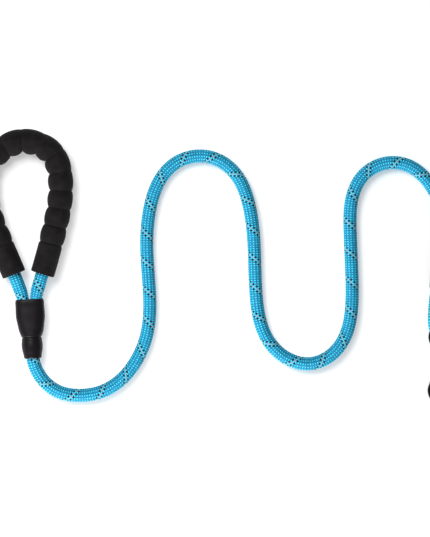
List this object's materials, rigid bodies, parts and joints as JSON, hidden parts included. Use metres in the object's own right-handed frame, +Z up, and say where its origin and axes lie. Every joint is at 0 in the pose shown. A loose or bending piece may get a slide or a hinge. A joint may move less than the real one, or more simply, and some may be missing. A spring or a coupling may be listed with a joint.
{
  "type": "training leash",
  "caption": "Round braided rope leash with a foam-sleeved hand loop, moulded sleeves over the rope joins and a swivel bolt snap, laid out in waves.",
  "frame": {"origin": "centre of the footprint of the hand loop and the snap group, on the surface the leash lies on", "axes": "+X from the hand loop to the snap group, +Y across the waves towards the top of the hand loop, +Z up from the surface"},
  "size_m": [0.5203, 0.2949, 0.0292],
  "materials": {
    "rope": "round braid in bright blue with a black and pale tracer",
    "foam": "matte closed-cell foam",
    "sleeve_rubber": "satin moulded rubber",
    "black_metal": "black plated zinc casting",
    "bolt_steel": "black plated steel",
    "spring_steel": "spring wire",
    "crimp": "plain"
  },
  "bodies": {
    "leash": {"grip_foam": "foam", "handle_loop_rope": "rope", "handle_barrel": "sleeve_rubber", "handle_neck": "sleeve_rubber", "handle_ferrule": "crimp", "free_rope": "rope", "hook_neck": "sleeve_rubber", "hook_barrel": "sleeve_rubber", "hook_ferrule": "crimp", "hook_loop_rope": "rope"},
    "eye": {"swivel_eye": "black_metal"},
    "snap": {"snap_body": "black_metal", "bolt_spring": "spring_steel"},
    "bolt": {"snap_bolt": "bolt_steel", "thumb_stud": "bolt_steel"}
  },
  "joints": [
    {"name": "snap_swing", "type": "hinge", "parent": "leash", "child": "eye", "pos_m": [0.2435, -0.043, 0.0125], "axis": [-1, 0, 0], "range_deg": [-55, 55], "deforming": ["hook_loop_rope"]},
    {"name": "snap_swivel", "type": "hinge", "parent": "eye", "child": "snap", "pos_m": [0.2427, -0.0765, 0.01303], "axis": [0, -0.9916, -0.129], "continuous": true},
    {"name": "bolt_slide", "type": "slide", "parent": "snap", "child": "bolt", "axis": [0, 0.9916, 0.129], "range_m": [0, 0.008], "stiffness_N_per_m": 400, "springref_m": -0.003, "deforming": ["bolt_spring"]}
  ]
}
